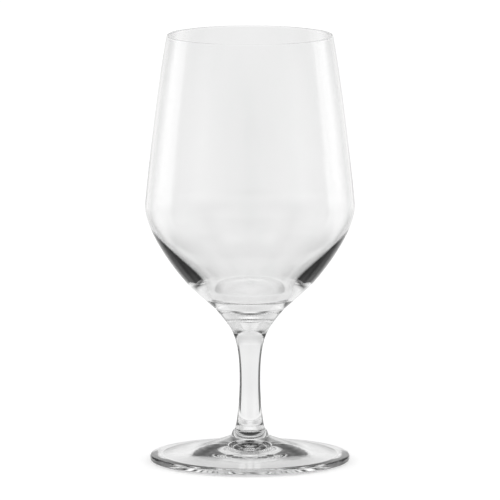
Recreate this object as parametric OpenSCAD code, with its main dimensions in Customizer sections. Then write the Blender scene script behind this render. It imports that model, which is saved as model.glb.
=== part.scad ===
// Stemmed glass goblet: a blown bowl, a drawn stem and a pressed foot.
// Origin: middle of the resting ring, on the table. +Z is up, along the axis of the glass.
// Each piece is one half section turned round the axis.

/* [Bowl] */
// Height of the bowl, from its seam with the stem to the lip
bowl_h = 107.7; // [95:0.1:125]
// Outside diameter at the lip
rim_d = 65; // [56:0.1:74]
// Outside diameter at the belly, the widest ring
belly_d = 82; // [78:0.1:88]
// Height of the belly above the seam
belly_rise = 40.7; // [36:0.1:48]
// Lean of the wall towards the axis at the lip, in degrees
rim_lean = 11; // [4:0.5:16]
// Slope of the underside where it leaves the seam, in degrees
under_slope = 41.8; // [36:0.1:44]
// Slant length of the straight underside above the seam
under_run = 11.4; // [9:0.1:16]
// Thickness of the wall at the lip
rim_wall = 1; // [0.7:0.05:1.6]
// Thickness of the wall at the belly
belly_wall = 1.15; // [0.8:0.05:2]
// Thickness of the glass floor on the axis
floor_wall = 4.3; // [3.4:0.1:7]
// Diameter of the floor, where it meets the wall
floor_d = 30.6; // [24:0.1:32.4]
// Height by which the floor rises from the axis to its corner
floor_rise = 0.7; // [0.2:0.05:1.4]
// Slope of the inner wall above the floor, in degrees
inner_slope = 47.5; // [45:0.5:52]

/* [Stem] */
// Length of the stem, from the foot to the seam under the bowl
stem_l = 50.4; // [40:0.1:90]
// Diameter of the seam between the stem and the bowl
seam_d = 27; // [25:0.1:31]
// Slope of the flare where it meets the bowl, in degrees
flare_slope = 53; // [46:0.5:62]
// Diameter at the waist, the narrowest ring
waist_d = 8.1; // [6:0.1:12]
// Height of the waist above the foot
waist_rise = 22; // [18:0.1:26]
// Diameter of the collar where it rests on the foot
collar_d = 15.2; // [13.6:0.1:18]
// Height of the collar
collar_h = 2.5; // [1.8:0.1:3.6]
// Width of the step on which the stem stands inside the collar
collar_step = 0.5; // [0.3:0.05:0.9]

/* [Foot] */
// Outside diameter of the foot
foot_d = 78.2; // [68:0.1:90]
// Height of the foot at its middle, where the stem stands
foot_h = 9.9; // [8:0.1:13]
// Thickness of the rounded edge
edge_wall = 2.3; // [1.8:0.1:3.2]
// Height of the edge's lower side above the table
edge_lift = 0.5; // [0.2:0.05:1]
// Slope of the top where it leaves the stem, in degrees
mound_slope = 22; // [14:0.5:30]
// Outside diameter of the flat ring on which the glass rests
rest_d = 71; // [62:0.1:76]
// Width of the flat resting ring
rest_w = 1.2; // [0.8:0.1:2.4]
// Height of the hollow under the foot, on the axis
hollow_h = 4; // [2:0.1:5.5]

/* [Hidden] */

// Steps along one curve of a section, and round the axis
curve_steps = 18;
arc_steps = 8;
turn_steps = 180;

// Radii
rim_r = rim_d / 2;
belly_r = belly_d / 2;
floor_r = floor_d / 2;
seam_r = seam_d / 2;
waist_r = waist_d / 2;
collar_r = collar_d / 2;
foot_r = foot_d / 2;
rest_r = rest_d / 2;

// Bowl: how far each end of a curve holds its direction
belly_pull_up = 1.8;
belly_pull_down = 10.5;
under_pull = 7.7;
rim_pull = 20.6;
inner_side_pull = 14.2;
inner_wall_pull = 9.5;
inner_run = 2.2;
knuckle_run = 0.5;
knuckle_pull = 0.3;
floor_pull = 4.9;

// Stem: places between the collar and the flare
collar_taper = 1;
collar_top_r = collar_r - collar_taper;
stem_base_r = collar_top_r - collar_step;
collar_round = 0.35;
base_slope = 62;
base_pull = 2.6;
waist_pull_down = 7;
waist_pull_up = 19.5;
flare_pull = 9.5;

// Foot: corners of the edge and how far the top and the hollow hold their directions
edge_top_round = 0.95;
edge_low_round = 0.6;
edge_slope = 7;
mound_pull = 9;
edge_pull = 14;
hollow_slope = 9;
hollow_pull = 12;
hollow_middle_pull = 10;
lift_pull = 1.2;

// A point at a distance from another, in a direction measured from +X towards +Y
function aim(p, angle, run) = [p.x + run * cos(angle), p.y + run * sin(angle)];

// One cubic curve through four control points
function bezier(a, b, c, d) = [
    for (i = [0:curve_steps])
        let (t = i / curve_steps, s = 1 - t)
            s * s * s * a + 3 * s * s * t * b + 3 * s * t * t * c + t * t * t * d
];

// A curve that leaves p in one direction and arrives at q in another
function sweep(p, angle_p, pull_p, q, angle_q, pull_q) =
    bezier(p, aim(p, angle_p, pull_p), aim(q, angle_q, -pull_q), q);

// Points of an arc round a centre
function arc(centre, radius, from, to) = [
    for (i = [0:arc_steps]) aim(centre, from + (to - from) * i / arc_steps, radius)
];

// A list of points without its first one, to join it to the list before it
function tail(points) = [for (i = [1:len(points) - 1]) points[i]];

// A solid of glass from a half section that starts and ends on the axis
module turned(section) {
    rotate_extrude($fn = turn_steps) polygon(section);
}

// Bowl, with its own zero at the seam
function bowl_outside() =
    let (
        seam = [seam_r, 0],
        cone_end = aim(seam, under_slope, under_run),
        belly = [belly_r, belly_rise],
        lip = [rim_r, bowl_h - rim_wall / 2]
    ) concat(
        [seam],
        sweep(cone_end, under_slope, under_pull, belly, 90, belly_pull_down),
        tail(sweep(belly, 90, belly_pull_up, lip, 90 + rim_lean, rim_pull))
    );

function bowl_lip() = arc([rim_r - rim_wall / 2, bowl_h - rim_wall / 2], rim_wall / 2, 0, 180);

function bowl_inside() =
    let (
        lip = [rim_r - rim_wall, bowl_h - rim_wall / 2],
        belly = [belly_r - belly_wall, belly_rise],
        corner = [floor_r, floor_wall + floor_rise],
        wall_end = aim(corner, inner_slope, knuckle_run + inner_run),
        knuckle_top = aim(corner, inner_slope, knuckle_run),
        knuckle_end = aim(corner, 180, knuckle_run),
        floor_middle = [0, floor_wall]
    ) concat(
        sweep(lip, rim_lean - 90, rim_pull, belly, -90, belly_pull_up),
        tail(sweep(belly, -90, inner_side_pull, wall_end, inner_slope - 180, inner_wall_pull)),
        sweep(knuckle_top, inner_slope - 180, knuckle_pull, knuckle_end, 180, knuckle_pull),
        tail(sweep(knuckle_end, 180, floor_pull, floor_middle, 180, floor_pull))
    );

module bowl() {
    color([0.93, 0.95, 0.95, 0.4])
        translate([0, 0, foot_h + stem_l])
            turned(concat([[0, 0]], bowl_outside(), tail(bowl_lip()), tail(bowl_inside())));
}

// Stem, with its own zero at the foot
function stem_side() =
    let (
        collar_shoulder = [collar_top_r - collar_round, collar_h - collar_round],
        base = [stem_base_r, collar_h],
        waist = [waist_r, waist_rise],
        seam = [seam_r, stem_l]
    ) concat(
        [[collar_r, 0]],
        arc(collar_shoulder, collar_round, 20, 90),
        sweep(base, 180 - base_slope, base_pull, waist, 90, waist_pull_down),
        tail(sweep(waist, 90, waist_pull_up, seam, flare_slope, flare_pull))
    );

module stem() {
    color([0.9, 0.93, 0.93, 0.5])
        translate([0, 0, foot_h])
            turned(concat([[0, 0]], stem_side(), [[0, stem_l]]));
}

// Foot, with its own zero on the table
function foot_top() =
    let (
        crease = [collar_r, foot_h],
        edge_centre = [foot_r - edge_top_round, edge_lift + edge_wall - edge_top_round],
        edge_start = aim(edge_centre, 90 - edge_slope, edge_top_round)
    ) concat(
        sweep(crease, -mound_slope, mound_pull, edge_start, -edge_slope, edge_pull),
        tail(arc(edge_centre, edge_top_round, 90 - edge_slope, 0))
    );

function foot_under() =
    let (
        edge_centre = [foot_r - edge_low_round, edge_lift + edge_low_round],
        edge_end = [foot_r - edge_low_round, edge_lift],
        rest_outside = [rest_r, 0],
        rest_inside = [rest_r - rest_w, 0],
        hollow_middle = [0, hollow_h]
    ) concat(
        arc(edge_centre, edge_low_round, 0, -90),
        tail(sweep(edge_end, 180, lift_pull, rest_outside, 180, lift_pull)),
        [rest_inside],
        tail(sweep(rest_inside, 180 - hollow_slope, hollow_pull, hollow_middle, 180, hollow_middle_pull))
    );

module foot() {
    color([0.9, 0.93, 0.93, 0.5])
        turned(concat([[0, foot_h]], foot_top(), foot_under()));
}

bowl();
stem();
foot();
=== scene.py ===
# A stemmed glass goblet: a blown bowl, a drawn stem and a pressed foot, standing on a pale studio floor.
# Everything is in metres, +Z up, with the origin in the middle of the ring on which the glass rests.
import math

import bpy
import numpy as np
from bpy.props import FloatProperty, FloatVectorProperty, IntProperty, PointerProperty
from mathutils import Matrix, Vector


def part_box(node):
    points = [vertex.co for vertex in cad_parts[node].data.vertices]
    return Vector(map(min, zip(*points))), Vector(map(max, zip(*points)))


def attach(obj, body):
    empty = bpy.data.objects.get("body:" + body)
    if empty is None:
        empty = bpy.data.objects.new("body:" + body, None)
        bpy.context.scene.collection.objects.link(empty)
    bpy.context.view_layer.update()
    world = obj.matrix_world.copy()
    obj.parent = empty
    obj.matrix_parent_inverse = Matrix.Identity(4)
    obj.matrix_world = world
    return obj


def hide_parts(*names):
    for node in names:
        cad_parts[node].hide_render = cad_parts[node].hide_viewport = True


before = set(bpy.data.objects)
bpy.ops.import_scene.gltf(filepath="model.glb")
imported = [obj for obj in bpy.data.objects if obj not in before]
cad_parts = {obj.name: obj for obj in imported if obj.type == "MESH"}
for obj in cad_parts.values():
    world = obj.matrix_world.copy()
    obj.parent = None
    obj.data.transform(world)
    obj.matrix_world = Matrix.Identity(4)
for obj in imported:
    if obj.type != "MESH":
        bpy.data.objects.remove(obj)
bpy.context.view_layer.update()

bl_info = {
    "name": "Stemmed goblet",
    "version": (1, 0, 0),
    "blender": (4, 5, 0),
    "location": "3D View > Sidebar > Goblet",
    "description": "Makes a clear glass goblet and a pale studio round it",
    "category": "Add Mesh",
}

BODY = "root"
MM = 0.001

# Fixed shares and pulls of the outline, in millimetres and degrees: they shape the curves between the sizes
BELLY_PULL_UP = 1.8
BELLY_PULL_DOWN = 10.5
UNDER_PULL = 7.7
RIM_PULL = 20.6
INNER_SIDE_PULL = 14.2
INNER_WALL_PULL = 9.5
INNER_RUN = 2.2
KNUCKLE_RUN = 0.5
KNUCKLE_PULL = 0.3
FLOOR_PULL = 4.9
COLLAR_TAPER = 1
COLLAR_ROUND = 0.35
COLLAR_TURN = (20, 90)
BASE_SLOPE = 62
BASE_PULL = 2.6
WAIST_PULL_DOWN = 7
WAIST_PULL_UP = 19.5
FLARE_PULL = 9.5
EDGE_TOP_ROUND = 0.95
EDGE_LOW_ROUND = 0.6
EDGE_SLOPE = 7
MOUND_PULL = 9
EDGE_PULL = 14
HOLLOW_SLOPE = 9
HOLLOW_PULL = 12
HOLLOW_MIDDLE_PULL = 10
LIFT_PULL = 1.2

# Fineness of the turned surfaces: steps round the axis, step along a curve in millimetres and along an arc in
# degrees, the least number of steps along each, points along the straight cone, and points taken as one
STEPS_AROUND = 260
RING_STEP = 0.72
ARC_STEP = 7.0
CURVE_STEPS = 8
ARC_STEPS = 4
CONE_POINTS = 16
SAME_POINT = 1e-5
# Edges that turn more than this stay sharp
CREASE = math.radians(24)

# How far a piece may be off its solid, how near a joint face is to its height,
# and the cosine of the slope that a joint face may have
FIT = 0.2 * MM
NEAR = 0.001 * MM
LEVEL = 0.9999

# Traces of the making. Each noise has a scale, a detail and a roughness, and shows between two of its levels
STREAK_NOISE, STREAK_SHOWS = (1.0, 3.0, 0.55), (0.45, 0.75)
HAND_NOISE, HAND_SHOWS = (38.0, 4.0, 0.6), (0.58, 0.8)
WAVE_NOISE, WAVE_DEPTH = (1.0, 1.0, 0.4), 0.001
# Streaks and waves per metre along x, y and z of each piece, and its share of the ripple
BOWL_TRACES = (90, 90, 14), (60, 60, 22), 1.0
STEM_TRACES = (220, 220, 10), (150, 150, 12), 0.6
FOOT_TRACES = (70, 70, 70), (120, 120, 40), 1.2
# Painted light: the upper wall emits faint light of its own, though it is no lamp, on each ray that it has
# mirrored this often, from one depth below the lip to another
PAINTED_GLOW_TURNS = 4
PAINTED_GLOW_STARTS, PAINTED_GLOW_FULL = 55 * MM, 40 * MM
# Places of the colour sockets of a Mix node
MIX_FIRST, MIX_SECOND, MIX_RESULT = 6, 7, 2

# Camera: sensor width in millimetres, clip range in metres, and sideways shift in widths of the picture
SENSOR = 36.0
CLIP = (0.1, 100.0)
SHIFT = 0.00014
# Floor: radius in metres, and the level that lifts its colour to white for the camera
FLOOR_RADIUS = 9
FLOOR_LIFT = 0.34
# Soft boxes: width and height, distance from the axis, height of the middle, and turn from straight behind
BOX_SIZE = (0.62, 1.5)
BOX_DISTANCE = 1.6
BOX_HEIGHT = 0.6
BOX_TURN = math.radians(68)
# How often light may bend or be mirrored, and how many clear faces it may cross
BOUNCES = 24
CLEAR_BOUNCES = 48


def length(label, about, millimetres):
    """A size in metres, given here in millimetres."""
    return FloatProperty(name=label, description=about, default=millimetres * MM, min=0, unit="LENGTH",
                         precision=5)


def angle(label, about, degrees):
    """An angle in radians, given here in degrees."""
    return FloatProperty(name=label, description=about, default=math.radians(degrees), subtype="ANGLE",
                         unit="ROTATION")


def plain(label, about, value, low=0.0, high=100.0):
    """A number without a unit."""
    return FloatProperty(name=label, description=about, default=value, min=low, max=high, precision=4)


class BowlSizes(bpy.types.PropertyGroup):
    """Sizes of the blown bowl"""
    height: length("Height", "From the seam with the stem to the lip", 107.7)
    rim: length("Rim", "Outside diameter at the lip", 65)
    belly: length("Belly", "Outside diameter at the widest ring", 82)
    belly_rise: length("Belly rise", "Height of the widest ring above the seam", 40.7)
    rim_lean: angle("Rim lean", "Lean of the wall towards the axis at the lip", 11)
    under_slope: angle("Underside slope", "Slope of the underside where it leaves the seam", 41.8)
    under_run: length("Underside run", "Slant length of the straight underside", 11.4)
    rim_wall: length("Rim wall", "Thickness of the wall at the lip", 1)
    belly_wall: length("Belly wall", "Thickness of the wall at the belly", 1.15)
    floor_wall: length("Floor", "Thickness of the glass floor on the axis", 4.3)
    floor: length("Floor diameter", "Diameter of the floor, where it meets the wall", 30.6)
    floor_rise: length("Floor rise", "Height by which the floor rises from the axis to its corner", 0.7)
    inner_slope: angle("Inner slope", "Slope of the inner wall above the floor", 47.5)


class StemSizes(bpy.types.PropertyGroup):
    """Sizes of the drawn stem"""
    length: length("Length", "From the foot to the seam under the bowl", 50.4)
    seam: length("Seam", "Diameter of the seam with the bowl", 27)
    flare_slope: angle("Flare slope", "Slope of the flare where it meets the bowl", 53)
    waist: length("Waist", "Diameter at the narrowest ring", 8.1)
    waist_rise: length("Waist rise", "Height of the narrowest ring above the foot", 22)
    collar: length("Collar", "Diameter of the collar where it rests on the foot", 15.2)
    collar_height: length("Collar height", "Height of the collar", 2.5)
    collar_step: length("Collar step", "Width of the step inside the collar", 0.5)


class FootSizes(bpy.types.PropertyGroup):
    """Sizes of the pressed foot"""
    diameter: length("Diameter", "Outside diameter of the foot", 78.2)
    height: length("Height", "Height of the foot at its middle", 9.9)
    edge_wall: length("Edge", "Thickness of the rounded edge", 2.3)
    edge_lift: length("Edge lift", "Height of the edge's lower side above the table", 0.5)
    mound_slope: angle("Mound slope", "Slope of the top where it leaves the stem", 22)
    rest: length("Resting ring", "Outside diameter of the ring on which the glass rests", 71)
    rest_width: length("Resting width", "Width of the ring on which the glass rests", 1.2)
    hollow: length("Hollow", "Height of the hollow under the foot, on the axis", 4)


class GlassFinish(bpy.types.PropertyGroup):
    """Look of the clear glass"""
    index: plain("Index", "How strongly the glass bends light", 1.52, 1.0, 2.5)
    clear: FloatVectorProperty(name="Clear tint", description="Colour of the clearest glass", subtype="COLOR",
                               size=3, default=(1.0, 1.0, 1.0), min=0, max=1)
    faint: FloatVectorProperty(name="Faint tint", description="Colour of the glass in its faint streaks",
                               subtype="COLOR", size=3, default=(0.985, 0.99, 0.988), min=0, max=1)
    haze: plain("Haze", "Roughness of the faint handling haze", 0.012, 0.0, 1.0)
    ripple: plain("Ripple", "Strength of the faint waves that blowing and pressing leave", 0.02, 0.0, 1.0)
    # Painted light: how much light the upper wall emits, though it is no lamp, at each turn of a ray that it
    # guides
    painted_glow: plain("Wall glow", "Light that the upper wall lends, at each turn, to a ray that it guides", 0.04,
                0.0, 5.0)


class StudioLight(bpy.types.PropertyGroup):
    """Camera, lamps and surround"""
    camera_distance: FloatProperty(name="Camera distance", description="Camera to axis, along the floor",
                                   default=3.3, min=0.5, unit="LENGTH")
    camera_height: FloatProperty(name="Camera height", description="Height of the camera above the floor",
                                 default=0.55508, min=0, unit="LENGTH", precision=5)
    camera_tilt: angle("Camera tilt", "How far the camera looks down", 8.1352)
    focal_widths: plain("Focal length", "Focal length in widths of the picture", 17.05128, 1.0, 100.0)
    box_watts: FloatProperty(name="Soft box power", description="Power of each tall soft box", default=3.6,
                             min=0, unit="POWER")
    floor_colour: FloatVectorProperty(name="Floor colour", description="Colour of the pale floor",
                                      subtype="COLOR", size=3, default=(0.8, 0.8, 0.8), min=0, max=1)
    sides: IntProperty(name="Floor corners", description="Corners of the round floor", default=96, min=12)


# Outlines

def aim(point, turn, run):
    """A point at a distance from another, in a direction measured from +X towards +Y, in degrees."""
    turn = math.radians(turn)
    return np.array(point, float) + run * np.array([math.cos(turn), math.sin(turn)])


def sweep(p, turn_p, pull_p, q, turn_q, pull_q):
    """The cubic curve with control points a = p, b = p moved on by its pull, c = q moved back by its pull,
    and d = q, at even t: (1-t)^3 a + 3 (1-t)^2 t b + 3 (1-t) t^2 c + t^3 d. Its length sets its steps."""
    a, d = np.array(p, float), np.array(q, float)
    b, c = aim(a, turn_p, pull_p), aim(d, turn_q, -pull_q)
    reach = np.linalg.norm(b - a) + np.linalg.norm(c - b) + np.linalg.norm(d - c)
    t = np.linspace(0, 1, max(CURVE_STEPS, int(reach / RING_STEP)) + 1)[:, None]
    s = 1 - t
    return s**3 * a + 3 * s**2 * t * b + 3 * s * t**2 * c + t**3 * d


def arc(centre, radius, turn_from, turn_to):
    """Points of a circle round a centre, from one angle to another, in degrees."""
    steps = max(ARC_STEPS, int(abs(turn_to - turn_from) / ARC_STEP))
    turns = np.radians(np.linspace(turn_from, turn_to, steps + 1))
    return np.array(centre, float) + radius * np.stack([np.cos(turns), np.sin(turns)], 1)


def joined(*parts):
    """Lists of points set end to end, with points that fall on the one before left out."""
    points = np.vstack([np.reshape(part, (-1, 2)) for part in parts])
    apart = np.linalg.norm(np.diff(points, axis=0), axis=1) > SAME_POINT
    return points[np.concatenate([[True], apart])]


def bowl_outline(b, seam_radius):
    """The bowl's half section from the middle of its seam: out to the seam ring, along a straight cone, a
    curve to the belly, a curve to the lip, a half circle over the lip, down the inside by way of the belly to
    the corner of the floor, and over the floor to the axis."""
    rim, belly = b.rim / 2 / MM, b.belly / 2 / MM
    lip_z, rise = (b.height - b.rim_wall / 2) / MM, b.belly_rise / MM
    wall, under, lean = b.rim_wall / MM, math.degrees(b.under_slope), math.degrees(b.rim_lean)
    seam = (seam_radius, 0)
    cone_end = aim(seam, under, b.under_run / MM)
    inner_belly = (belly - b.belly_wall / MM, rise)
    cone = np.linspace(seam, cone_end, CONE_POINTS)
    corner = (b.floor / 2 / MM, (b.floor_wall + b.floor_rise) / MM)
    inner = math.degrees(b.inner_slope)
    knuckle_end = aim(corner, 180, KNUCKLE_RUN)
    return joined(
        (0, 0), cone,
        sweep(cone_end, under, UNDER_PULL, (belly, rise), 90, BELLY_PULL_DOWN),
        sweep((belly, rise), 90, BELLY_PULL_UP, (rim, lip_z), 90 + lean, RIM_PULL),
        arc((rim - wall / 2, lip_z), wall / 2, 0, 180),
        sweep((rim - wall, lip_z), lean - 90, RIM_PULL, inner_belly, -90, BELLY_PULL_UP),
        sweep(inner_belly, -90, INNER_SIDE_PULL, aim(corner, inner, KNUCKLE_RUN + INNER_RUN), inner - 180,
              INNER_WALL_PULL),
        sweep(aim(corner, inner, KNUCKLE_RUN), inner - 180, KNUCKLE_PULL, knuckle_end, 180, KNUCKLE_PULL),
        sweep(knuckle_end, 180, FLOOR_PULL, (0, b.floor_wall / MM), 180, FLOOR_PULL),
    )


def stem_outline(s):
    """The stem's half section from the middle of the foot: out to the collar, over its rounded shoulder and
    step, in to the waist, and out in a flare to the seam ring and back to the axis."""
    collar, seam, waist = s.collar / 2 / MM, s.seam / 2 / MM, s.waist / 2 / MM
    top, rise, end = s.collar_height / MM, s.waist_rise / MM, s.length / MM
    shoulder = (collar - COLLAR_TAPER - COLLAR_ROUND, top - COLLAR_ROUND)
    base = (collar - COLLAR_TAPER - s.collar_step / MM, top)
    return joined(
        (0, 0), (collar, 0), arc(shoulder, COLLAR_ROUND, *COLLAR_TURN),
        sweep(base, 180 - BASE_SLOPE, BASE_PULL, (waist, rise), 90, WAIST_PULL_DOWN),
        sweep((waist, rise), 90, WAIST_PULL_UP, (seam, end), math.degrees(s.flare_slope), FLARE_PULL),
        (0, end),
    )


def foot_outline(f, collar_radius):
    """The foot's half section from the middle of its hollow: down the hollow to the resting ring, round the
    edge, and up over the mound to the collar and the axis."""
    edge, rest = f.diameter / 2 / MM, f.rest / 2 / MM
    lift, inner_rest = f.edge_lift / MM, (f.rest - 2 * f.rest_width) / 2 / MM
    low = (edge - EDGE_LOW_ROUND, lift + EDGE_LOW_ROUND)
    high = (edge - EDGE_TOP_ROUND, lift + f.edge_wall / MM - EDGE_TOP_ROUND)
    top_start = aim(high, 90 - EDGE_SLOPE, EDGE_TOP_ROUND)
    return joined(
        sweep((0, f.hollow / MM), 0, HOLLOW_MIDDLE_PULL, (inner_rest, 0), -HOLLOW_SLOPE, HOLLOW_PULL),
        sweep((rest, 0), 0, LIFT_PULL, (edge - EDGE_LOW_ROUND, lift), 0, LIFT_PULL),
        arc(low, EDGE_LOW_ROUND, -90, 0), arc(high, EDGE_TOP_ROUND, 0, 90 - EDGE_SLOPE),
        sweep(top_start, 180 - EDGE_SLOPE, EDGE_PULL, (collar_radius, f.height / MM),
              180 - math.degrees(f.mound_slope), MOUND_PULL),
        (0, f.height / MM),
    )


# Surfaces

def turned(name, outline, base):
    """A closed half outline in millimetres carried once round the axis: the point of radius r and height z at
    the angle t is (r cos t, r sin t, base + z). Each end on the axis is one vertex and a fan of triangles."""
    r, z = outline[:, 0] * MM, outline[:, 1] * MM + base
    turns = np.linspace(0, 2 * np.pi, STEPS_AROUND, endpoint=False)
    rings = np.stack([np.outer(r[1:-1], np.cos(turns)), np.outer(r[1:-1], np.sin(turns)),
                      np.repeat(z[1:-1, None], STEPS_AROUND, 1)], -1).reshape(-1, 3)
    points = np.vstack([rings, [[0, 0, z[0]], [0, 0, z[-1]]]])
    here = np.arange(STEPS_AROUND)
    following = (here + 1) % STEPS_AROUND
    row = np.arange(len(r) - 3)[:, None] * STEPS_AROUND
    above = row + STEPS_AROUND
    sides = np.stack([row + here, row + following, above + following, above + here], -1)
    first, last = len(rings), len(rings) + 1
    top = (len(r) - 3) * STEPS_AROUND
    start = np.stack([np.full(STEPS_AROUND, first), following, here], -1)
    end = np.stack([np.full(STEPS_AROUND, last), top + here, top + following], -1)
    mesh = bpy.data.meshes.new(name)
    mesh.from_pydata(points.tolist(), [], start.tolist() + sides.reshape(-1, 4).tolist() + end.tolist())
    mesh.shade_smooth()
    mesh.set_sharp_from_angle(angle=CREASE)
    piece = bpy.data.objects.new(name, mesh)
    bpy.context.scene.collection.objects.link(piece)
    return piece


def vectors(items, name):
    """One vector of each vertex or face of a mesh, as the rows of an array."""
    flat = np.zeros(len(items) * 3)
    items.foreach_get(name, flat)
    return flat.reshape(-1, 3)


def finish_piece(piece, node, glass, joints):
    """Gives a turned piece its glass, and its flat joint faces the finish of fused glass, and stands it for
    its node. A joint face is level, at the height of a joint, with its middle inside the joint's radius."""
    lowest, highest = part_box(node)
    mesh = piece.data
    corners = vectors(mesh.vertices, "co")
    off = np.abs(np.concatenate([corners.min(0) - lowest, corners.max(0) - highest])).max()
    if off > FIT:
        raise RuntimeError(f"{piece.name} is {off / MM:.2f} mm off its solid")
    mesh.materials.append(glass)
    mesh.materials.append(fused_glass())
    middles = vectors(mesh.polygons, "center")
    level = np.abs(vectors(mesh.polygons, "normal")[:, 2]) > LEVEL
    inside = np.zeros(len(middles), bool)
    for height, radius in joints:
        inside |= (np.abs(middles[:, 2] - height) < NEAR) & (np.hypot(middles[:, 0], middles[:, 1]) < radius)
    mesh.polygons.foreach_set("material_index", (level & inside).astype(np.int32))
    mesh.update()
    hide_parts(node)
    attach(piece, BODY)


# Materials

class Socket:
    """An output of a node that can stand in sums and products: each operation adds its Math node."""

    def __init__(self, shader, output):
        self.shader, self.output = shader, output

    def _math(self, operation, *others):
        return self.shader.add("ShaderNodeMath", {"operation": operation}, *others)["Value"]

    def __add__(self, other):
        return self._math("ADD", self, other)

    def __radd__(self, other):
        return self._math("ADD", other, self)

    def __sub__(self, other):
        return self._math("SUBTRACT", self, other)

    def __rsub__(self, other):
        return self._math("SUBTRACT", other, self)

    def __mul__(self, other):
        return self._math("MULTIPLY", self, other)

    def __rmul__(self, other):
        return self._math("MULTIPLY", other, self)

    def __truediv__(self, other):
        return self._math("DIVIDE", self, other)

    def __abs__(self):
        return self._math("ABSOLUTE", self)

    def __gt__(self, other):
        return self._math("GREATER_THAN", self, other)

    def larger(self, other):
        return self._math("MAXIMUM", self, other)

    def reaches(self, count):
        """1 where a count is at least this, 0 elsewhere."""
        return self > count - 0.5

    def angle_from(self, along):
        """The angle whose sine side is this and whose cosine side is along, in radians."""
        return self._math("ARCTAN2", self, along)

    def arcsine(self):
        return self._math("ARCSINE", self)

    def rising(self, low, high):
        """0 below low, 1 above high, and a smooth step between."""
        return self.shader.add("ShaderNodeMapRange", {"interpolation_type": "SMOOTHSTEP"},
                               Value=self, From_Min=low, From_Max=high)["Result"]


class Outputs:
    """The outputs of one node, by name."""

    def __init__(self, shader, node):
        self.shader, self.node = shader, node

    def __getitem__(self, name):
        return Socket(self.shader, self.node.outputs[name])


class Shader:
    """A node tree, emptied, with one method that adds any node."""

    def __init__(self, tree):
        self.tree = tree
        tree.nodes.clear()

    def add(self, kind, settings=None, *values, **named):
        """A node of this type. Its settings are set first, a ramp's stops among them, then its sockets, in
        order or by name with _ for a space, each to a value or to a link."""
        node = self.tree.nodes.new(kind)
        for key, value in (settings or {}).items():
            if key == "stops":
                self._stops(node.color_ramp.elements, value)
            else:
                setattr(node, key, value)
        for key, value in [*enumerate(values), *((k.replace("_", " "), v) for k, v in named.items())]:
            if isinstance(value, Socket):
                self.tree.links.new(value.output, node.inputs[key])
            else:
                node.inputs[key].default_value = value
        return Outputs(self, node)

    @staticmethod
    def _stops(elements, stops):
        while len(elements) < len(stops):
            elements.new(1.0)
        for element, (place, level) in zip(elements, stops):
            element.position = place
            element.color = (level, level, level, 1)


def material(name):
    """A new material and its emptied node tree."""
    made = bpy.data.materials.new(name)
    made.use_nodes = True
    return made, Shader(made.node_tree)


def noise(s, place, scale, detail, roughness):
    """The level of a noise at a place."""
    return s.add("ShaderNodeTexNoise", None, place, Scale=scale, Detail=detail, Roughness=roughness)["Fac"]


def clear_glass(name, finish, streak_scale, wave_scale, ripple_share, lip=None):
    """Clear glass with the traces of its making: faint streaks of tint, a haze where it is handled, and waves
    so low that only the bent light shows them. Below a lip, given by its height, the wall guides light round
    itself, and carries painted light there: it emits a little light of its own, though it is no lamp, on each
    ray that it has turned again and again."""
    made, s = material(name)
    place = s.add("ShaderNodeTexCoord")["Object"]
    drawn = s.add("ShaderNodeMapping", None, place, Scale=streak_scale)["Vector"]
    streaks = noise(s, drawn, *STREAK_NOISE).rising(*STREAK_SHOWS)
    tint = s.add("ShaderNodeMix", {"data_type": "RGBA"}, streaks).node
    tint.inputs[MIX_FIRST].default_value = (*finish.clear, 1)
    tint.inputs[MIX_SECOND].default_value = (*finish.faint, 1)
    haze = noise(s, place, *HAND_NOISE).rising(*HAND_SHOWS) * finish.haze
    waves = s.add("ShaderNodeMapping", None, place, Scale=wave_scale)["Vector"]
    bump = s.add("ShaderNodeBump", None, Strength=finish.ripple * ripple_share, Distance=WAVE_DEPTH,
                 Height=noise(s, waves, *WAVE_NOISE))
    look = {"Base_Color": Socket(s, tint.outputs[MIX_RESULT]), "Roughness": haze, "Normal": bump["Normal"],
            "IOR": finish.index, "Transmission_Weight": 1.0}
    if lip:
        # Painted light: the upper wall emits light on rays that it has mirrored often, so it brightens with no
        # lamp behind it
        wall = s.add("ShaderNodeSeparateXYZ", None, place)["Z"].rising(lip - PAINTED_GLOW_STARTS, lip - PAINTED_GLOW_FULL)
        painted_glow_rays = s.add("ShaderNodeLightPath")["Glossy Depth"].reaches(PAINTED_GLOW_TURNS)
        look.update(Emission_Color=wall * painted_glow_rays * finish.painted_glow, Emission_Strength=1.0)
        made.cycles.emission_sampling = "NONE"
    s.add("ShaderNodeOutputMaterial", None, s.add("ShaderNodeBsdfPrincipled", None, **look)["BSDF"])
    return made


def fused_glass():
    """The finish of the faces where two pieces are fused: light goes straight on, as inside one glass."""
    made = bpy.data.materials.get("fused_joint")
    if made is None:
        made, s = material("fused_joint")
        through = s.add("ShaderNodeBsdfTransparent", None, (1, 1, 1, 1))["BSDF"]
        s.add("ShaderNodeOutputMaterial", None, through)
    return made


# Operators

class GOBLET_OT_bowl(bpy.types.Operator):
    """Makes the blown bowl"""
    bl_idname = "goblet.bowl"
    bl_label = "Bowl"

    def execute(self, context):
        scene = context.scene
        base = scene.goblet_foot.height + scene.goblet_stem.length
        outline = bowl_outline(scene.goblet_bowl, scene.goblet_stem.seam / 2 / MM)
        piece = turned("bowl_glass", outline, base)
        lip = base + scene.goblet_bowl.height
        glass = clear_glass("blown_glass_clear", scene.goblet_glass, *BOWL_TRACES, lip)
        finish_piece(piece, "bowl", glass, [(base, scene.goblet_stem.seam / 2)])
        return {"FINISHED"}


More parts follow.
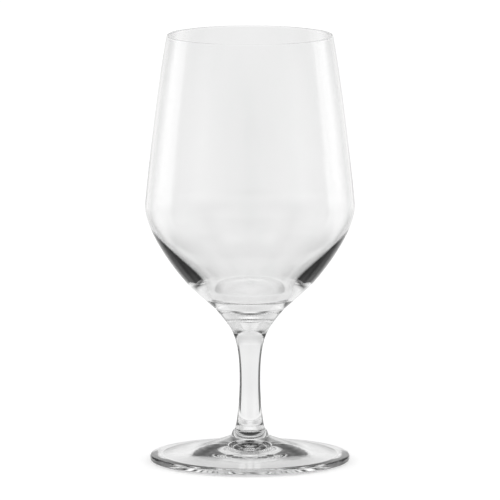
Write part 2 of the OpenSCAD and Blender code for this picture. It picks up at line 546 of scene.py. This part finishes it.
class GOBLET_OT_stem(bpy.types.Operator):
    """Makes the drawn stem with its collar"""
    bl_idname = "goblet.stem"
    bl_label = "Stem"

    def execute(self, context):
        scene = context.scene
        base, sizes = scene.goblet_foot.height, scene.goblet_stem
        piece = turned("stem_glass", stem_outline(sizes), base)
        glass = clear_glass("drawn_glass_clear", scene.goblet_glass, *STEM_TRACES)
        finish_piece(piece, "stem", glass, [(base, sizes.collar / 2), (base + sizes.length, sizes.seam / 2)])
        return {"FINISHED"}


class GOBLET_OT_foot(bpy.types.Operator):
    """Makes the pressed foot"""
    bl_idname = "goblet.foot"
    bl_label = "Foot"

    def execute(self, context):
        scene = context.scene
        sizes, collar = scene.goblet_foot, scene.goblet_stem.collar / 2
        piece = turned("foot_glass", foot_outline(sizes, collar / MM), 0.0)
        glass = clear_glass("pressed_glass_clear", scene.goblet_glass, *FOOT_TRACES)
        finish_piece(piece, "foot", glass, [(sizes.height, collar)])
        return {"FINISHED"}


# The studio round the glass, with one table for each kind of ray. Each row gives, at one height in degrees, the
# level of light by the angle from straight behind the glass, in degrees, the same on both sides. No real room
# has four surrounds at once: together they stand for the tent, the boxes and the flags of a studio.

# Light that only passes through the glass: nearly white, with dark flags at the sides that draw its edges
PASSED = [
    (-46, [(0, 1), (30, 0.9), (44, 0.65), (56, 0.65), (70, 0.95)]),
    (-34, [(0, 1), (14, 0.8), (32, 0.6), (36, 0.9), (86, 0.95), (92, 0.1), (124, 0.1), (130, 0.95)]),
    (-20, [(0, 0.95), (86, 0.95), (92, 0.1), (124, 0.1), (130, 0.95)]),
    (-18, [(0, 0.86), (8, 0.88), (14, 0.93), (42, 0.86), (44.5, 0), (86, 0.05), (94, 0.95)]),
    (-9, [(0, 0.87), (42, 0.87), (44.5, 0), (75, 0), (79, 0.95), (102, 0.95), (108, 0.1), (126, 0.1),
          (132, 0.95)]),
    (6, [(0, 0.85), (42, 0.85), (52, 0), (75, 0), (79, 0.95), (102, 0.95), (108, 0.1), (126, 0.1),
         (132, 0.95)]),
    (16, [(0, 0.8), (18, 0.72), (50, 0.62), (75, 0.8)]),
    (40, [(0, 0.78)]),
    (60, [(0, 0.95)]),
]
# Light that the outside mirrors: soft boxes at the sides, dark flags above and below, a dimmer room in front
OUTSIDE = [
    (-75, [(0, 0.65), (100, 0.02), (180, 0.08)]),
    (-50, [(0, 0.9), (36, 1.05), (48, 0), (64, 0), (120, 1.05), (180, 0.25)]),
    (-36, [(0, 0.95), (28, 0.55), (38, 0), (52, 0), (90, 1.2), (120, 1.2), (180, 0.35)]),
    (-26, [(0, 0.95), (12, 1), (24, 0.3), (38, 0.15), (50, 1.2), (56, 1.4), (80, 1.4), (84, 1), (120, 1.2),
           (180, 0.5)]),
    (-17, [(0, 0.95), (12, 0.85), (20, 0.6), (32, 0.6), (44, 0.9), (56, 1.4), (80, 1.4), (84, 0.9),
           (120, 1.15), (180, 0.6)]),
    (-10, [(0, 0.8), (16, 0.9), (25, 0.75), (46, 0.9), (56, 1.4), (80, 1.4), (84, 0.8), (120, 1),
           (180, 0.65)]),
    (-6, [(0, 0.65), (14, 1), (46, 1), (56, 1.4), (80, 1.4), (84, 0.6), (120, 1.05), (160, 0.5), (180, 0.6)]),
    (0, [(0, 0.7), (14, 0.95), (24, 0.92), (46, 0.92), (56, 1.4), (80, 1.4), (84, 0.7), (120, 1.05),
         (180, 0.8)]),
    (4, [(0, 0.75), (14, 0.95), (22, 0.1), (44, 0.1), (56, 1.4), (80, 1.4), (84, 0.8), (120, 1.1),
         (180, 0.85)]),
    (15, [(0, 0.95), (14, 0.95), (22, 0.1), (44, 0.1), (56, 1.4), (80, 1.4), (84, 0.8), (120, 1.1),
          (180, 0.85)]),
    (24, [(0, 0.25), (12, 0.25), (20, 0.1), (44, 0.1), (56, 1.3), (80, 1.3), (84, 0.8), (120, 1.1),
          (180, 0.85)]),
    (34, [(0, 0.7), (10, 0.6), (18, 0.1), (44, 0.1), (60, 0.7), (180, 0.8)]),
]
# Light that is mirrored once within the glass
ONCE = [
    (-70, [(0, 0.6), (60, 0.4), (86, 0), (180, 0.04)]),
    (-45, [(0, 0.85), (20, 0.9), (50, 0.3), (80, 0), (128, 0), (150, 1.2), (180, 0.9)]),
    (-28, [(0, 0), (10, 0), (20, 0.95), (60, 1), (95, 0.4), (120, 0.7), (180, 0.8)]),
    (-12, [(0, 0.75), (36, 0.9), (46, 1.2), (56, 1.4), (79, 1.4), (84, 0.9), (120, 1), (180, 0.1)]),
    (-5, [(0, 0.9), (8, 0.85), (30, 0.88), (46, 1.3), (58, 1.4), (79, 1.4), (84, 0.9), (120, 1), (180, 0.2)]),
    (2, [(0, 0.8), (6, 0.8), (16, 0.15), (26, 0.6), (50, 0.85), (58, 1.4), (79, 1.4), (84, 0.8), (120, 1.05),
         (180, 0.35)]),
    (12, [(0, 1), (4, 1), (10, 0.2), (14, 0.1), (19, 0.7), (28, 0.95), (120, 0.6), (180, 0.7)]),
    (24, [(0, 0.5), (20, 0.4), (34, 0.5), (44, 0.02), (78, 0.85), (95, 0.75), (120, 0.02), (180, 0.5)]),
    (38, [(0, 0), (7, 0.1), (13, 0.8), (28, 0.8), (40, 0), (46, 0), (78, 0.7), (95, 0.65), (120, 0),
          (140, 0.7), (180, 0.4)]),
    (52, [(0, 0.05), (46, 0), (78, 1), (95, 0.8), (120, 0.1), (140, 0.45), (180, 0.3)]),
    (68, [(0, 0), (40, 0), (60, 0.2), (72, 1), (180, 0.8)]),
]
# Light that is mirrored again and again within the glass: a dark room with a few openings
OFTEN = [
    (-60, [(0, 0.25), (40, 0.9), (66, 0), (180, 0)]),
    (-36, [(0, 0.9), (30, 0.3), (66, 0), (180, 0)]),
    (-22, [(0, 0), (8, 0.1), (14, 1.1), (28, 0.9), (42, 0), (50, 0), (56, 0.25), (64, 0.04), (96, 0.04),
           (108, 0.9), (130, 0.9), (140, 0.04)]),
    (-8, [(0, 0.35), (8, 0.3), (14, 0.95), (28, 1.2), (42, 0.9), (48, 0.06), (54, 0.2), (60, 0.06), (66, 0.3),
          (74, 0.3), (82, 0.05), (96, 0.04), (108, 0.9), (124, 0.9), (132, 0.04)]),
    (2, [(0, 0.7), (14, 0.6), (28, 1.1), (42, 1), (48, 0.06), (54, 0.2), (60, 0.06), (66, 0.35), (74, 0.35),
         (82, 0.05)]),
    (16, [(0, 0.4), (30, 0.8), (40, 0.8), (48, 0.06), (54, 0.15), (60, 0.06), (68, 0.12), (74, 0.12),
          (82, 0.04)]),
    (34, [(0, 1.2), (20, 0.65), (44, 1), (52, 0.04)]),
    (54, [(0, 0.3), (44, 0.8), (52, 0.04)]),
    (76, [(0, 0)]),
]
# The highest level that a table may give
BRIGHTEST = 2.0
# Light that the glass has turned this often is spent, and has this level
SPENT_TURNS = 12
SPENT = 0.04
# The even level of the surround for the matt floor
SOFT_LEVEL = 0.85
# Degrees from straight behind the glass to straight in front of it
HALF_TURN = 180


class GOBLET_OT_studio(bpy.types.Operator):
    """Makes the camera, the floor, the soft boxes and the surround"""
    bl_idname = "goblet.studio"
    bl_label = "Studio"

    def execute(self, context):
        set_up = context.scene.goblet_studio
        self.camera(context.scene, set_up)
        self.floor(set_up)
        self.boxes(set_up)
        self.surround(context.scene)
        cycles = context.scene.cycles
        cycles.max_bounces = cycles.transmission_bounces = cycles.glossy_bounces = BOUNCES
        cycles.transparent_max_bounces = CLEAR_BOUNCES
        context.scene.view_settings.view_transform = "Standard"
        return {"FINISHED"}

    def camera(self, scene, set_up):
        """The camera, in front of the glass and looking down at it."""
        data = bpy.data.cameras.new("camera")
        data.sensor_width = SENSOR
        data.lens = SENSOR * set_up.focal_widths
        data.clip_start, data.clip_end = CLIP
        data.shift_x = SHIFT
        view = bpy.data.objects.new("camera", data)
        view.location = (0, -set_up.camera_distance, set_up.camera_height)
        view.rotation_euler = (math.pi / 2 - set_up.camera_tilt, 0, 0)
        scene.collection.objects.link(view)
        scene.camera = view

    def floor(self, set_up):
        """A flat round floor: the corners of a regular polygon. The camera sees it white but for the object's
        shadow, and light that the glass bends or mirrors passes through it to the surround."""
        turns = np.linspace(0, 2 * np.pi, set_up.sides, endpoint=False)
        points = FLOOR_RADIUS * np.stack([np.cos(turns), np.sin(turns), np.zeros(set_up.sides)], 1)
        mesh = bpy.data.meshes.new("floor")
        mesh.from_pydata(points.tolist(), [], [list(range(set_up.sides))])
        made, s = material("pale_floor")
        path = s.add("ShaderNodeLightPath")
        first = 1 - path["Diffuse Depth"].reaches(1)
        bent = path["Is Transmission Ray"].larger(path["Is Glossy Ray"]) * first
        matt = s.add("ShaderNodeBsdfDiffuse", None, (*set_up.floor_colour, 1))["BSDF"]
        lift = s.add("ShaderNodeEmission", None, (1, 1, 1, 1), path["Is Camera Ray"] * FLOOR_LIFT)["Emission"]
        pale = s.add("ShaderNodeAddShader", None, matt, lift)["Shader"]
        open_air = s.add("ShaderNodeBsdfTransparent", None, (1, 1, 1, 1))["BSDF"]
        ground = s.add("ShaderNodeMixShader", None, bent, pale, open_air)["Shader"]
        s.add("ShaderNodeOutputMaterial", None, ground)
        mesh.materials.append(made)
        floor = bpy.data.objects.new("floor", mesh)
        bpy.context.scene.collection.objects.link(floor)

    def boxes(self, set_up):
        """Two tall soft boxes, left and right a little behind the glass, turned to it."""
        for side in (-1, 1):
            data = bpy.data.lights.new("soft_box", "AREA")
            data.shape = "RECTANGLE"
            data.size, data.size_y = BOX_SIZE
            data.energy = set_up.box_watts
            lamp = bpy.data.objects.new("soft_box", data)
            away, behind = BOX_DISTANCE * math.sin(BOX_TURN), BOX_DISTANCE * math.cos(BOX_TURN)
            lamp.location = (side * away, behind, BOX_HEIGHT)
            lamp.rotation_euler = (math.pi / 2, 0, side * (math.pi - BOX_TURN))
            lamp.visible_camera = lamp.visible_glossy = lamp.visible_transmission = False
            bpy.context.scene.collection.objects.link(lamp)

    def surround(self, scene):
        """The world, by the direction in which a ray leaves the glass and by how the glass turned it. A
        table's rows are rings of light, and between two rings the level goes over smoothly. The camera sees
        plain white, and the matt floor an even level."""
        world = bpy.data.worlds.new("studio")
        world.use_nodes = True
        scene.world = world
        s = Shader(world.node_tree)
        ray = s.add("ShaderNodeSeparateXYZ", None, s.add("ShaderNodeTexCoord")["Generated"])
        aside = abs(ray["X"]).angle_from(ray["Y"]) / math.pi
        up = ray["Z"].arcsine() * (HALF_TURN / math.pi)
        path = s.add("ShaderNodeLightPath")

        def ring(stops):
            places = [(place / HALF_TURN, level / BRIGHTEST) for place, level in stops]
            return s.add("ShaderNodeValToRGB", {"stops": places}, aside)["Color"] * BRIGHTEST

        def mixed(low, high, share):
            return low * (1 - share) + high * share

        def rings(rows):
            level = ring(rows[0][1])
            for (low, _), (high, stops) in zip(rows, rows[1:]):
                level = mixed(level, ring(stops), up.rising(low, high))
            return level

        often = mixed(rings(OFTEN), SPENT, path["Glossy Depth"].reaches(SPENT_TURNS))
        within = mixed(rings(ONCE), often, path["Glossy Depth"].reaches(2))
        mirrored = mixed(rings(OUTSIDE), within, path["Transmission Depth"].reaches(1))
        bent = mixed(rings(PASSED), mirrored, path["Glossy Depth"].reaches(1))
        lit = mixed(bent, SOFT_LEVEL, path["Diffuse Depth"].reaches(1))
        seen = mixed(lit, 1, path["Is Camera Ray"])
        sky = s.add("ShaderNodeBackground", None, (1, 1, 1, 1), seen)
        s.add("ShaderNodeOutputWorld", None, sky["Background"])


class GOBLET_PT_panel(bpy.types.Panel):
    """The goblet's pieces and sizes"""
    bl_idname = "GOBLET_PT_panel"
    bl_label = "Goblet"
    bl_space_type = "VIEW_3D"
    bl_region_type = "UI"
    bl_category = "Goblet"

    def draw(self, context):
        for group, operator in (("goblet_bowl", "bowl"), ("goblet_stem", "stem"), ("goblet_foot", "foot"),
                                ("goblet_glass", None), ("goblet_studio", "studio")):
            box = self.layout.box()
            sizes = getattr(context.scene, group)
            for name in sizes.__annotations__:
                box.prop(sizes, name)
            if operator:
                box.operator(f"goblet.{operator}")


GROUPS = {"goblet_bowl": BowlSizes, "goblet_stem": StemSizes, "goblet_foot": FootSizes,
          "goblet_glass": GlassFinish, "goblet_studio": StudioLight}
CLASSES = (GOBLET_OT_bowl, GOBLET_OT_stem, GOBLET_OT_foot, GOBLET_OT_studio, GOBLET_PT_panel)


def register():
    for group in GROUPS.values():
        bpy.utils.register_class(group)
    for name, group in GROUPS.items():
        setattr(bpy.types.Scene, name, PointerProperty(type=group))
    for cls in CLASSES:
        bpy.utils.register_class(cls)


def unregister():
    for cls in reversed(CLASSES):
        bpy.utils.unregister_class(cls)
    for name in GROUPS:
        delattr(bpy.types.Scene, name)
    for group in reversed(GROUPS.values()):
        bpy.utils.unregister_class(group)


def main():
    register()
    bpy.ops.goblet.studio()
    bpy.ops.goblet.bowl()
    bpy.ops.goblet.stem()
    bpy.ops.goblet.foot()


if __name__ == "__main__":
    main()
